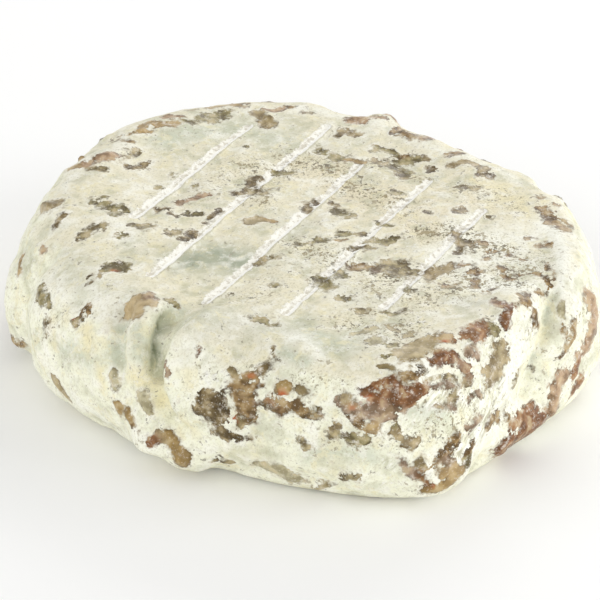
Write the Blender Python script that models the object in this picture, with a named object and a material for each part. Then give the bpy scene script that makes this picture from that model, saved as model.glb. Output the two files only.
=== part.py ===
"""A whole natural-rind cheese wheel, about 205 mm across and 51 mm high.

The body is one solid: a hand-ladled puck whose outline swells and flattens, with the marks of the
ripening rack pressed into both faces, a deep fold down the front and curd lumps rounded under the rind.
Units are metres, +Z is up, the wheel rests on z = 0 and its front, with the fold, faces -Y.
"""

import math

import bpy
import bmesh
import numpy as np
from mathutils import Vector, geometry, noise

MM = 0.001

# Driving dimensions
WHEEL_HEIGHT = 50 * MM
BELLY_HEIGHT = 21 * MM          # where the wall stands out furthest
SHOULDER_POWER = 2.3            # above 2, the shoulder is squarer than an ellipse
FOOT_POWER = 2.2

# Belly radii in mm, anticlockwise from +X in equal steps
BELLY_RADII = (99, 95.5, 87.5, 91.5, 105, 108.5, 106.5, 101.5, 99.5, 96, 92, 90, 95.5, 104, 96, 100.5)
# How far the top and the resting face start inside the belly, in mm, likewise: the left front is worn round
SHOULDER_INSETS = (15, 19, 22, 19, 26, 31, 20, 17)
FOOT_INSETS = (13, 13, 13, 12, 13, 18, 14, 9)
# Mesh density
STEPS_AROUND = 150
STEPS_UP = 15
TOP_SPACING = 4.4 * MM
FOOT_SPACING = 6.5 * MM
GROOVE_STEP = 4.0 * MM
EDGE_CLEARANCE = 0.6            # how near a face's own points come to its edge, as a share of their spacing
GROOVE_CLEARANCE = 0.55         # and to a rack mark's points
MERGE_DISTANCE = 0.05 * MM
NET_TOLERANCE = 0.001 * MM

# Rack marks: parallel grooves, as (mm across, start mm, end mm along the wire)
RACK_ANGLE = math.radians(61)   # the way the wires ran, from +X
GROOVE_HALF_WIDTH = 1.5 * MM
GROOVE_DEPTH = 0.9 * MM
GROOVE_FLANK = 0.6              # width of a mark's sloping side, as a share of its half width
TOP_GROOVES = ((-49, -28, 49), (-24, -58, 62), (0, -63, 41), (26.5, -58, 43), (52, -40, 32))
FOOT_GROOVES = ((-44, -36, 42), (-18, -56, 54), (8, -56, 60), (34, -46, 42))

# Sculpting strokes on the wall: places as (degrees from +X, height mm), then width mm and rise mm
WALL_STROKES = {
    "fold": (((235, 47), (235.5, 44), (236.5, 39), (238, 34), (240, 28), (243, 22)), 4.6, -3.3),
    "fold's near lip": (((246, 46), (244, 41), (245, 36), (247, 30), (251, 25)), 5.0, 1.8),
    "fold's far ridge": (((229, 48), (231, 44), (233, 39), (235, 34), (237, 28)), 5.0, 2.2),
    "second fold": (((224, 47), (226, 42), (228, 36), (230, 30), (232, 24)), 4.5, -2.0),
    "left shoulder swell": (((199, 34), (202, 26), (204, 18)), 9.0, 1.6),
    "left lobe": (((181, 20), (182, 14), (183, 8)), 9.0, 4.4),
    "seam beside the lobe": (((190, 44), (190, 32), (191, 20), (191, 7)), 4.5, -4.0),
    "lump at the fold's foot": (((236, 13), (241, 10), (246, 9)), 6.0, 5.5),
    "slit": (((250.5, 25), (255, 22.5), (261, 22)), 2.2, -1.6),
    "front brow": (((252, 40), (262, 42), (272, 41), (282, 42)), 8.0, 1.6),
    "front hollow": (((262, 27), (276, 27), (288, 26)), 9.0, -1.5),
    "red lump": (((282, 41), (288, 43), (292, 44)), 6.0, 1.8),
    "ledge": (((288, 48.5), (297, 49.5), (307, 49.5), (314, 49)), 5.0, 1.8),
    "crease under the ledge": (((284, 38), (292, 38), (300, 36)), 4.0, -1.2),
    "right knob": (((319, 49),), 7.0, 3.0),
    "right seam": (((331, 47), (326, 43), (322, 37), (319, 29), (317, 20)), 4.0, -3.2),
    "right brow": (((345, 48.5), (338, 47), (331, 42), (327, 34)), 4.5, 2.4),
    "right flank lump": (((347, 26), (343, 20)), 8.0, 2.4),
    "lower right lumps": (((326, 14), (320, 9)), 7.0, 3.2),
    "foot lump": (((310, 10), (314, 12)), 6.0, 2.6),
    "front foot lump": (((290, 9), (297, 10)), 6.5, 3.0),
    "front foot dip": (((302, 5), (304, 10)), 5.0, -2.4),
    "left foot dip": (((253, 5), (262, 7), (271, 6)), 7.0, -3.0),
    "far left nub": (((153, 47),), 3.5, 2.6),
    "back fold": (((80, 46), (78, 40), (78, 33), (75, 24), (76, 14)), 5.0, -4.0),
    "back fold's lip": (((70, 47), (69, 38), (68, 29)), 7.0, 2.4),
    "back seam": (((118, 40), (124, 34), (132, 31), (141, 33)), 4.5, -2.2),
    "back lump": (((104, 14), (110, 12)), 8.0, 3.0),
    "back right swell": (((30, 30), (40, 26)), 13.0, 2.2),
    "back right seam": (((22, 44), (25, 34), (24, 24)), 4.5, -2.4),
    "back left lump": (((160, 15), (166, 12)), 9.0, 2.4),
}

# Sculpting strokes on the top: places as (x mm, y mm), then width mm and rise mm
TOP_STROKES = {
    "mouth of the fold": (((-36, -54), (-41, -61)), 4.5, -0.9),
    "near side of the mouth": (((-28, -60), (-33, -68)), 7.0, 1.6),
    "knuckle at the fold": (((-50, -57),), 6.0, 1.6),
    "left hollow": (((-31, -31), (-24, -22)), 15.0, -1.5),
    "right hollow": (((28, -35), (36, -36)), 10.0, -1.1),
    "far right hollow": (((38, 42), (46, 36)), 11.0, -1.6),
    "edge of that hollow": (((48, 46), (55, 36), (54, 26)), 5.0, 1.2),
    "front knob": (((0, -79),), 5.0, 1.4),
    "far left rim lumps": (((-70, 44), (-62, 55)), 5.0, 1.4),
    "far rim lumps": (((-50, 66), (-40, 75)), 5.0, 1.6),
    "far rim bead": (((-24, 84),), 5.5, 1.5),
    "far knob": (((-13, 76),), 4.5, 1.8),
    "far right bead": (((27, 76),), 5.5, 1.6),
    "far right lumps": (((40, 60), (46, 55)), 5.0, 1.5),
    "right rim lumps": (((56, 46), (63, 37)), 5.0, 1.3),
    "left rim lump": (((-84, 9),), 6.0, 1.4),
}

# Curd lumps under the rind
CURD_SIZE = 13 * MM
CURD_RISE = 1.5 * MM            # from the creases between the lumps to their crowns
SWELL_SIZE = 38 * MM
SWELL_RISE = 1.3 * MM
FOOT_FADE = 8 * MM              # below this height the lumps die away, so that the wheel stands flat


def around(values, angle):
    """The value in metres at an angle, on a smooth closed curve through mm values at equal steps from +X."""
    count = len(values)
    place = (np.asarray(angle, float) % math.tau) / math.tau * count
    index = np.floor(place).astype(int)
    t = place - index
    ring = np.array(values, float) * MM
    before, start, end, after = (ring[(index + k) % count] for k in (-1, 0, 1, 2))
    cubic = 3 * (start - end) + after - before
    return start + 0.5 * t * (end - before + t * (2 * before - 5 * start + 4 * end - after + t * cubic))


def wall(degrees, height_mm):
    """The point of the plain wall at an angle and a height."""
    angle, height = math.radians(degrees), height_mm * MM
    if height < BELLY_HEIGHT:
        share, insets, power = 1 - height / BELLY_HEIGHT, FOOT_INSETS, FOOT_POWER
    else:
        share = (height - BELLY_HEIGHT) / (WHEEL_HEIGHT - BELLY_HEIGHT)
        insets, power = SHOULDER_INSETS, SHOULDER_POWER
    radius = around(BELLY_RADII, angle) - around(insets, angle) * (1 - (1 - share**power) ** (1 / power))
    return np.array((radius * math.cos(angle), radius * math.sin(angle), height))


def top(x_mm, y_mm):
    """The point of the plain top face over x and y."""
    return np.array((x_mm * MM, y_mm * MM, WHEEL_HEIGHT))


def groove_ends(groove):
    """Both ends of a rack mark, in plan."""
    across, start, end = groove
    along = np.array((math.cos(RACK_ANGLE), math.sin(RACK_ANGLE)))
    middle = np.array((along[1], -along[0])) * across * MM
    return middle + along * start * MM, middle + along * end * MM


def wall_rings():
    """Rings of points up the wall, about evenly spaced along its profile, from foot edge to top edge."""
    turns = np.linspace(-1, 1, 401) * math.pi / 2     # a fine profile, from which even steps are taken
    lower = turns < 0
    powers = np.where(lower, FOOT_POWER, SHOULDER_POWER)
    inward = 1 - np.clip(np.cos(turns), 0, 1) ** (2 / powers)
    upward = np.sign(turns) * np.abs(np.sin(turns)) ** (2 / powers)
    heights = BELLY_HEIGHT + upward * np.where(lower, BELLY_HEIGHT, WHEEL_HEIGHT - BELLY_HEIGHT)
    middling = inward * np.where(lower, np.mean(FOOT_INSETS), np.mean(SHOULDER_INSETS)) * MM
    length = np.concatenate(([0], np.cumsum(np.hypot(np.diff(middling), np.diff(heights)))))
    even = np.linspace(0, length[-1], STEPS_UP + 1)
    angles = np.arange(STEPS_AROUND) / STEPS_AROUND * math.tau
    belly, shoulder, foot = (around(values, angles) for values in (BELLY_RADII, SHOULDER_INSETS, FOOT_INSETS))
    rings = []
    for share, height in zip(np.interp(even, length, inward), np.interp(even, length, heights)):
        reach = belly - share * (foot if height < BELLY_HEIGHT else shoulder)
        ring = (reach * np.cos(angles), reach * np.sin(angles), np.full_like(reach, height))
        rings.append(np.stack(ring, 1))
    return rings


def groove_rows(grooves):
    """Rows of points along and beside every groove of a face, in plan."""
    rows = []
    for groove in grooves:
        start, end = groove_ends(groove)
        length = np.linalg.norm(end - start)
        along = (end - start) / length
        side = np.array((along[1], -along[0]))
        steps = np.linspace(0, length, max(2, round(length / GROOVE_STEP)) + 1)
        for offset in (-2, -1, 0, 1, 2):
            rows.append([start + along * step + side * offset * GROOVE_HALF_WIDTH for step in steps])
    return rows


def face_net(edge, height, spacing, grooves):
    """Points and triangles of a face inside its edge ring, with rows of points along each groove."""
    ring = edge[:, :2]
    angles = np.arctan2(ring[:, 1], ring[:, 0]) % math.tau
    order = np.argsort(angles)
    reach = np.hypot(*ring.T)

    def inside(spot):
        angle = math.atan2(spot[1], spot[0]) % math.tau
        limit = np.interp(angle, angles[order], reach[order], period=math.tau)
        return math.hypot(*spot) < limit - EDGE_CLEARANCE * spacing

    points = [tuple(p) for p in ring]
    count = len(ring)
    lines = [(k, (k + 1) % count) for k in range(count)]
    marked = []
    for row in groove_rows(grooves):
        row = [tuple(p) for p in row if inside(p)]
        lines += [(len(points) + k, len(points) + k + 1) for k in range(len(row) - 1)]
        points += row
        marked += row
    marked = np.array(marked)
    half = int(reach.max() / spacing / math.sqrt(0.75)) + 1
    for j in range(-half, half + 1):
        for i in range(-half, half + 1):
            spot = np.array((i + 0.5 * (j % 2), j * math.sqrt(0.75))) * spacing
            if inside(spot) and np.hypot(*(marked - spot).T).min() > GROOVE_CLEARANCE * spacing:
                points.append(tuple(spot))
    flat, _, faces, *_ = geometry.delaunay_2d_cdt([Vector(p) for p in points], lines, [], 1, NET_TOLERANCE)
    return [(p.x, p.y, height) for p in flat], [tuple(f) for f in faces]


def plain_wheel():
    """The closed wheel before it is sculpted, as a bmesh."""
    net = bmesh.new()
    rings = wall_rings()
    made = [[net.verts.new(p) for p in ring] for ring in rings]
    for low, high in zip(made, made[1:]):
        for k in range(STEPS_AROUND):
            after = (k + 1) % STEPS_AROUND
            net.faces.new((low[k], low[after], high[after], high[k]))
    for ring, spacing, grooves, facing in (
        (rings[-1], TOP_SPACING, TOP_GROOVES, 1),
        (rings[0], FOOT_SPACING, FOOT_GROOVES, -1),
    ):
        points, faces = face_net(ring, ring[0][2], spacing, grooves)
        verts = [net.verts.new(p) for p in points]
        for face in faces:
            net.faces.new([verts[i] for i in face][::facing])
    bmesh.ops.remove_doubles(net, verts=net.verts, dist=MERGE_DISTANCE)
    bmesh.ops.triangulate(net, faces=net.faces)
    bmesh.ops.recalc_face_normals(net, faces=net.faces)
    return net


def stroke(points, places, width, rise):
    """How far a stroke along the places lifts each point: a soft ridge, or a furrow if rise is negative."""
    nearest = np.full(len(points), np.inf)
    places = np.array(places)
    pairs = zip(places[:-1], places[1:]) if len(places) > 1 else ((places[0], places[0]),)
    for start, end in pairs:
        along = end - start
        share = (points - start) @ along / (along @ along or 1)
        foot = start + np.clip(share, 0, 1)[:, None] * along
        nearest = np.minimum(nearest, np.linalg.norm(points - foot, axis=1))
    return rise * MM * np.exp(-((nearest / (width * MM)) ** 2))


def strokes():
    """Every sculpting stroke, as (points in metres, width in mm, rise in mm)."""
    found = []
    for group, point in ((WALL_STROKES, wall), (TOP_STROKES, top)):
        for places, width, rise in group.values():
            found.append(([point(*place) for place in places], width, rise))
    return found


def groove_lift(points, grooves, face_height):
    """The furrows of one face's rack marks."""
    lift = np.zeros(len(points))
    on_face = np.abs(points[:, 2] - face_height) < 0.5 * MM
    for groove in grooves:
        start, end = groove_ends(groove)
        along = end - start
        share = ((points[:, :2] - start) @ along) / (along @ along)
        away = np.linalg.norm(points[:, :2] - (start + np.clip(share, 0, 1)[:, None] * along), axis=1)
        share = np.clip(1 + GROOVE_FLANK - away / GROOVE_HALF_WIDTH, 0, 1)
        lift = np.minimum(lift, -GROOVE_DEPTH * share * on_face)
    return lift


def curd_lift(points):
    """Lumps of curd that show through the rind, and the slow swell of the whole body."""
    lift = np.empty(len(points))
    for k, point in enumerate(points):
        place = Vector(point)
        distance = noise.voronoi(place / CURD_SIZE)[0][0]
        lift[k] = CURD_RISE * (0.5 - distance) + SWELL_RISE * noise.noise(place / SWELL_SIZE)
    return lift


def sculpt(net):
    """Moves the points of the plain wheel along its normals by the strokes, lumps and grooves."""
    net.normal_update()
    points = np.array([v.co for v in net.verts])
    normals = np.array([v.normal for v in net.verts])
    lift = curd_lift(points)
    for places, width, rise in strokes():
        lift += stroke(points, places, width, rise)
    lift *= np.clip(points[:, 2] / FOOT_FADE, 0, 1)
    lift += groove_lift(points, TOP_GROOVES, WHEEL_HEIGHT)
    lift += groove_lift(points, FOOT_GROOVES, 0)
    points += normals * lift[:, None]
    low, high = points.min(0), points.max(0)
    points -= np.array(((low[0] + high[0]) / 2, (low[1] + high[1]) / 2, low[2]))
    for vert, point in zip(net.verts, points):
        vert.co = point


def rind_material():
    material = bpy.data.materials.new("rind")
    material.use_nodes = True
    shader = material.node_tree.nodes["Principled BSDF"]
    shader.inputs["Base Color"].default_value = (0.76, 0.73, 0.60, 1)
    shader.inputs["Roughness"].default_value = 0.75
    shader.inputs["Metallic"].default_value = 0.0
    return material


def main():
    for old in list(bpy.data.objects):
        bpy.data.objects.remove(old)
    net = plain_wheel()
    sculpt(net)
    mesh = bpy.data.meshes.new("cheese_wheel")
    net.to_mesh(mesh)
    net.free()
    mesh.materials.append(rind_material())
    mesh.shade_smooth()
    wheel = bpy.data.objects.new("cheese_wheel", mesh)
    bpy.context.scene.collection.objects.link(wheel)


if __name__ == "__main__":
    main()
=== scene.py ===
import math
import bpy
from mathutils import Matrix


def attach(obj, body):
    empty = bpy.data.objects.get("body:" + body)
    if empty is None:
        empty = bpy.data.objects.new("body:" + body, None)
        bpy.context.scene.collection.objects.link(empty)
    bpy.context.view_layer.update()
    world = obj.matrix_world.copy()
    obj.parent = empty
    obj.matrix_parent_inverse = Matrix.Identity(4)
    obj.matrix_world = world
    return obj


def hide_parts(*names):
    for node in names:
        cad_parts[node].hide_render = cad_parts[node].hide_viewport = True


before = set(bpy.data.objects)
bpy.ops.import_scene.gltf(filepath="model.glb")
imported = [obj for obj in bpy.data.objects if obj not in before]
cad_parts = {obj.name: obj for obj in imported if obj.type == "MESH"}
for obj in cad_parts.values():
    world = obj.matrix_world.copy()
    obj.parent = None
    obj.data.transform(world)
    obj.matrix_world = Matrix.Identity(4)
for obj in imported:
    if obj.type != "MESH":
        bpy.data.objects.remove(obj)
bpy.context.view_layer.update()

from types import SimpleNamespace

import bpy
import numpy as np
from mathutils import Vector, noise
from mathutils.bvhtree import BVHTree

mm = 0.001
noise.seed_set(2)   # without it noise_vector gives other patch outlines on each run
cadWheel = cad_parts["cheese_wheel"]


def paint(red, green, blue):   # 0 to 255 as a colour picker shows it, to the linear value that shaders use
    shares = np.array((red, green, blue)) / 255
    return np.where(shares < 0.04045, shares / 12.92, ((shares + 0.055) / 1.055) ** 2.4)


# The camera stands where the photo was taken from: low, far off, with a long lens
photoView = {
    "elevation": 31.0,
    "distance": 858.5 * mm,
    "target": (-0.3 * mm, -2.65 * mm, 18.1 * mm),
    "lens": 150.0,
    "sensor": 36.0,
    "pixels": 600,
}


def addCamera():
    tilt = math.radians(photoView["elevation"])
    back = Vector((0, -math.cos(tilt), math.sin(tilt)))
    bpy.ops.object.camera_add(location=Vector(photoView["target"]) + back * photoView["distance"])
    made = bpy.context.object
    made.name = "photoCamera"
    made.rotation_euler = back.to_track_quat("Z", "Y").to_euler()
    made.data.lens = photoView["lens"]
    made.data.sensor_width = photoView["sensor"]
    made.data.clip_end = 50
    bpy.context.scene.camera = made
    bpy.context.view_layer.update()
    return made


camera = addCamera()
print("camera placed")


# Body: the CAD wheel with an even fine skin, its facets smoothed away
bodySettings = {
    "skinSize": 1.13 * mm,
    "smoothing": 9,
    "fineCuts": 1,
    "fineReach": 2.6 * mm,
    "topAbove": 40 * mm,
    "footBelow": 2 * mm,
    "shake": ((7, 2.0), (3, 0.9)),
}
# The rack marks lie where the CAD part has them: mm across, start and end mm along the wire.
# The depth is cut on top of the CAD part's own
rackMarks = {
    "angle": math.radians(61),
    "top": ((-49, -28, 49), (-24, -58, 62), (0, -63, 41), (26.5, -58, 43), (52, -40, 32)),
    "foot": ((-44, -36, 42), (-18, -56, 54), (8, -56, 60), (34, -46, 42)),
    "halfWidth": 1.45 * mm,
    "depth": 0.35 * mm,
    "lip": 0.4 * mm,
    "reach": 6 * mm,
    "wobble": 0.3,
    "wobbleSize": 4 * mm,
}


def deselectAll():
    bpy.ops.object.select_all(action="DESELECT")


def applyModifier(piece, kind, **settings):
    bpy.ops.object.modifier_add(type=kind)
    modifier = piece.modifiers[-1]
    for name, value in settings.items():
        setattr(modifier, name, value)
    bpy.ops.object.modifier_apply(modifier=modifier.name)


def copyBody():
    deselectAll()
    piece = bpy.data.objects.new("mouldedWheel", cadWheel.data.copy())
    bpy.context.scene.collection.objects.link(piece)
    piece.data.materials.clear()
    piece.select_set(True)
    bpy.context.view_layer.objects.active = piece
    bpy.ops.mesh.customdata_custom_splitnormals_clear()
    bpy.ops.object.mode_set(mode="EDIT")
    bpy.ops.mesh.select_all(action="SELECT")
    bpy.ops.mesh.remove_doubles(threshold=0.01 * mm)
    bpy.ops.object.mode_set(mode="OBJECT")
    applyModifier(piece, "REMESH", mode="VOXEL", voxel_size=bodySettings["skinSize"], adaptivity=0)
    applyModifier(piece, "SMOOTH", factor=0.5, iterations=bodySettings["smoothing"])
    return piece


def markEnds(mark):   # both ends of a rack mark in plan, in metres
    across, start, end = mark
    along = np.array((math.cos(rackMarks["angle"]), math.sin(rackMarks["angle"])))
    side = np.array((along[1], -along[0]))
    return (side * across + along * start) * mm, (side * across + along * end) * mm


def markReach(points, mark):   # how far points lie from a rack mark in plan: distance, and signed side
    start, end = markEnds(mark)
    along = end - start
    share = np.clip((points[:, :2] - start) @ along / (along @ along), 0, 1)
    offset = points[:, :2] - (start + share[:, None] * along)
    side = offset @ np.array((along[1], -along[0])) / np.linalg.norm(along)
    return np.linalg.norm(offset, axis=1), side


def pointsOf(piece):
    flat = np.empty(len(piece.data.vertices) * 3)
    piece.data.vertices.foreach_get("co", flat)
    return flat.reshape(-1, 3)


def normalsOf(piece):
    flat = np.empty(len(piece.data.vertices) * 3)
    piece.data.vertex_normals.foreach_get("vector", flat)
    return flat.reshape(-1, 3)


def setPoints(piece, points):
    piece.data.vertices.foreach_set("co", points.ravel())
    piece.data.update()


def refineMarks(piece):   # finer faces along the rack marks
    centres = np.empty(len(piece.data.polygons) * 3)
    piece.data.polygons.foreach_get("center", centres)
    centres = centres.reshape(-1, 3)
    high = centres[:, 2] > bodySettings["topAbove"]
    low = centres[:, 2] < bodySettings["footBelow"]
    chosen = np.zeros(len(centres), bool)
    for marks, part in ((rackMarks["top"], high), (rackMarks["foot"], low)):
        for mark in marks:
            chosen |= part & (markReach(centres, mark)[0] < bodySettings["fineReach"])
    bpy.ops.object.mode_set(mode="EDIT")
    bpy.ops.mesh.select_mode(type="FACE")
    bpy.ops.mesh.select_all(action="DESELECT")
    bpy.ops.object.mode_set(mode="OBJECT")
    piece.data.polygons.foreach_set("select", chosen)
    bpy.ops.object.mode_set(mode="EDIT")
    bpy.ops.mesh.subdivide(number_cuts=bodySettings["fineCuts"])
    bpy.ops.object.mode_set(mode="OBJECT")


wheel = copyBody()
refineMarks(wheel)
print("body copied:", len(wheel.data.vertices), "points")


# Places read from the photo, in its pixels, are carried along the camera's rays to the wheel
class Surface:   # the wheel's skin, seen from the camera
    def __init__(self, piece):
        self.points = pointsOf(piece)
        self.normals = normalsOf(piece)
        self.tree = BVHTree.FromObject(piece, bpy.context.evaluated_depsgraph_get())
        self.eye = camera.matrix_world.translation.copy()
        self.turn = camera.matrix_world.to_3x3()
        self.pixel = photoView["sensor"] / photoView["lens"] / photoView["pixels"]
        self.spots = self.points

    def warp(self):   # points shaken a little, so that what is laid along a path gets an uneven outline
        shaken = self.points.copy()
        for size, amount in bodySettings["shake"]:
            waves = [noise.noise_vector(Vector(point) / (size * mm)) for point in self.points]
            shaken += np.array(waves) * amount * mm
        self.spots = shaken

    def facing(self, point):   # how squarely the surface there faces the camera, 0 to 1
        normal = self.tree.find_nearest(Vector(point))[1]
        return abs(normal.dot((self.eye - Vector(point)).normalized()))

    def place(self, x, y):
        middle = photoView["pixels"] / 2
        ray = self.turn @ Vector(((x - middle) * self.pixel, (middle - y) * self.pixel, -1))
        return self.tree.ray_cast(self.eye, ray.normalized())[0]

    def path(self, numbers):
        found = [self.place(*pair) for pair in zip(numbers[::2], numbers[1::2])]
        return [np.array(point) for point in found if point]

    def away(self, path, reach):   # each nearby point's index and its distance from the path
        path = np.array(path)
        low, high = path.min(0) - reach, path.max(0) + reach
        near = np.flatnonzero(((self.spots > low) & (self.spots < high)).all(1))
        spots = self.spots[near]
        gap = np.full(len(near), np.inf)
        ends = zip(path[:-1], path[1:]) if len(path) > 1 else ((path[0], path[0]),)
        for start, end in ends:
            along = end - start
            share = np.clip((spots - start) @ along / (along @ along or 1), 0, 1)
            gap = np.minimum(gap, np.linalg.norm(spots - start - share[:, None] * along, axis=1))
        return near, gap


pixelSize = photoView["distance"] * photoView["sensor"] / photoView["lens"] / photoView["pixels"]


# Relief: folds and ridges stroked into the skin: half width in pixels, rise in mm, pixels along the stroke
reliefStrokes = {
    "fold": (7.5, -4.2, 172, 314, 164, 322, 158, 334, 156, 348, 157, 362, 160, 376),
    "fold's foot": (7, -1.6, 160, 376, 163, 396, 170, 414, 182, 428),
    "fold's mouth": (9, -1.2, 196, 303, 184, 308, 172, 314),
    "fold lip": (10, 2.5, 208, 316, 192, 329, 181, 342, 174, 358, 172, 376, 176, 396, 184, 414),
    "capped ridge": (12, 2.4, 146, 303, 142, 320, 139, 338, 138, 350),
    "cap": (8, 1.2, 136, 301, 148, 297),
    "knob under the cap": (9, 1.3, 138, 346, 140, 354),
    "hollow under the knob": (9, -1.6, 142, 378, 150, 388, 156, 398),
    "second fold": (8, -2.0, 127, 310, 121, 328, 119, 346, 120, 360),
    "far left lump": (5, 1.3, 108, 138, 124, 135, 142, 132),
    "far left knob": (4.5, 1.2, 88, 159, 98, 157, 110, 155),
    "far left tip": (3, 1.2, 73, 161, 82, 158),
    "back lump": (5, 1.0, 152, 126, 166, 121, 182, 117),
    "back knob": (4, 1.2, 262, 110, 270, 118),
    "back right lump": (4.5, 1.2, 352, 119, 364, 119),
    "back right knob": (4.5, 1.0, 402, 133, 414, 138),
    "left rim lump": (5, 1.2, 46, 204, 53, 206),
    "right knob": (6, 1.2, 507, 309, 510, 320),
    "right far lump": (6, 1.0, 592, 300, 594, 315),
    "low right knob": (4.5, 1.3, 424, 460),
    "low white knob": (3.5, 1.4, 431, 475),
    "amber lump": (6, 1.0, 280, 387, 286, 388),
    "olive lump": (5, 0.9, 303, 389),
    "brown lump": (7, 1.1, 236, 400, 244, 410),
    "right rim crease": (4.5, -1.7, 554, 296, 548, 318, 538, 350, 530, 372, 522, 394),
    "right rim fold": (9, 0.7, 556, 235, 562, 256, 562, 280, 556, 300),
}
# Lumps of curd under the skin: size and rise in mm, on the sides and on the top
lumpLayers = ((11.0, 0.85, 0.28), (5.5, 0.55, 0.16), (2.8, 0.22, 0.09))
flatTop = (0.75, 0.96)   # how upright the skin is, from the shoulder to the flat top


def fadeStep(values, low, high):
    share = np.clip((values - low) / (high - low), 0, 1)
    return share * share * (3 - 2 * share)


def sculptRelief(piece):
    surface = Surface(piece)
    points = surface.points
    topShare = fadeStep(surface.normals[:, 2], *flatTop)
    footShare = 1 - fadeStep(points[:, 2], 0.5 * mm, 6 * mm)
    lift = np.zeros(len(points))
    hollow = np.zeros(len(points))
    across = np.full(len(points), 9.0)
    for width, rise, *numbers in reliefStrokes.values():
        near, gap = surface.away(surface.path(numbers), 3 * width * pixelSize)
        lift[near] += rise * mm * np.exp(-((gap / (width * pixelSize)) ** 2))
    for size, sideRise, topRise in lumpLayers:
        rise = (sideRise + (topRise - sideRise) * topShare) * mm
        waves = np.array([noise.noise(Vector(point) / (size * mm)) for point in points])
        lift += rise * waves * (1 - footShare)
        # The same waves, turned round, make the hollow field: painted shade in the coat's hollows and
        # painted light on its crests
        hollow -= waves * 0.8
    groove = np.zeros(len(points))
    for marks, share in ((rackMarks["top"], topShare), (rackMarks["foot"], footShare)):
        for mark in marks:
            gap, side = markReach(points, mark)
            near = np.flatnonzero((gap < rackMarks["reach"]) & (share > 0.01))
            across[near] = side[near] / rackMarks["halfWidth"]
            size = rackMarks["wobbleSize"]
            wobble = np.array([noise.noise(Vector(point) / size) for point in points[near]])
            width = rackMarks["halfWidth"] * (1 + rackMarks["wobble"] * wobble)
            inside = 1 - fadeStep(gap[near], 0.55 * width, 1.15 * width)
            edge = np.exp(-(((gap[near] - 1.5 * width) / (0.4 * width)) ** 2)) * (side[near] > 0)
            groove[near] = np.maximum(groove[near], (1.7 - gap[near] / width) * share[near])
            lip = rackMarks["lip"] * edge * (points[near, 2] > 5 * mm)
            lift[near] += (lip - rackMarks["depth"] * inside) * share[near]
    moved = points + surface.normals * lift[:, None]
    moved[:, 2] = np.maximum(moved[:, 2], 0)
    setPoints(piece, moved)
    return groove, hollow, across


grooveField, hollowField, acrossField = sculptRelief(wheel)
print("relief sculpted")


# Bare rind: where the mould coat is missing. Each patch is its half width in pixels, then pixels along it
rindColours = {
    "olive": paint(148, 138, 96),
    "taupe": paint(160, 147, 110),
    "brown": paint(150, 123, 80),
    "dark": paint(120, 103, 68),
    "redBrown": paint(134, 92, 56),
    "pinkBrown": paint(184, 156, 126),
    "amber": paint(184, 158, 112),
    "greyAmber": paint(192, 184, 150),
    "beige": paint(184, 168, 130),
    "orange": paint(184, 78, 26),
    "tan": paint(196, 175, 134),
    "mauve": paint(168, 145, 122),
    "umber": paint(146, 130, 92),
    "rust": paint(158, 117, 80),
    "fawn": paint(168, 151, 114),
    "honey": paint(162, 136, 86),
}
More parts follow.
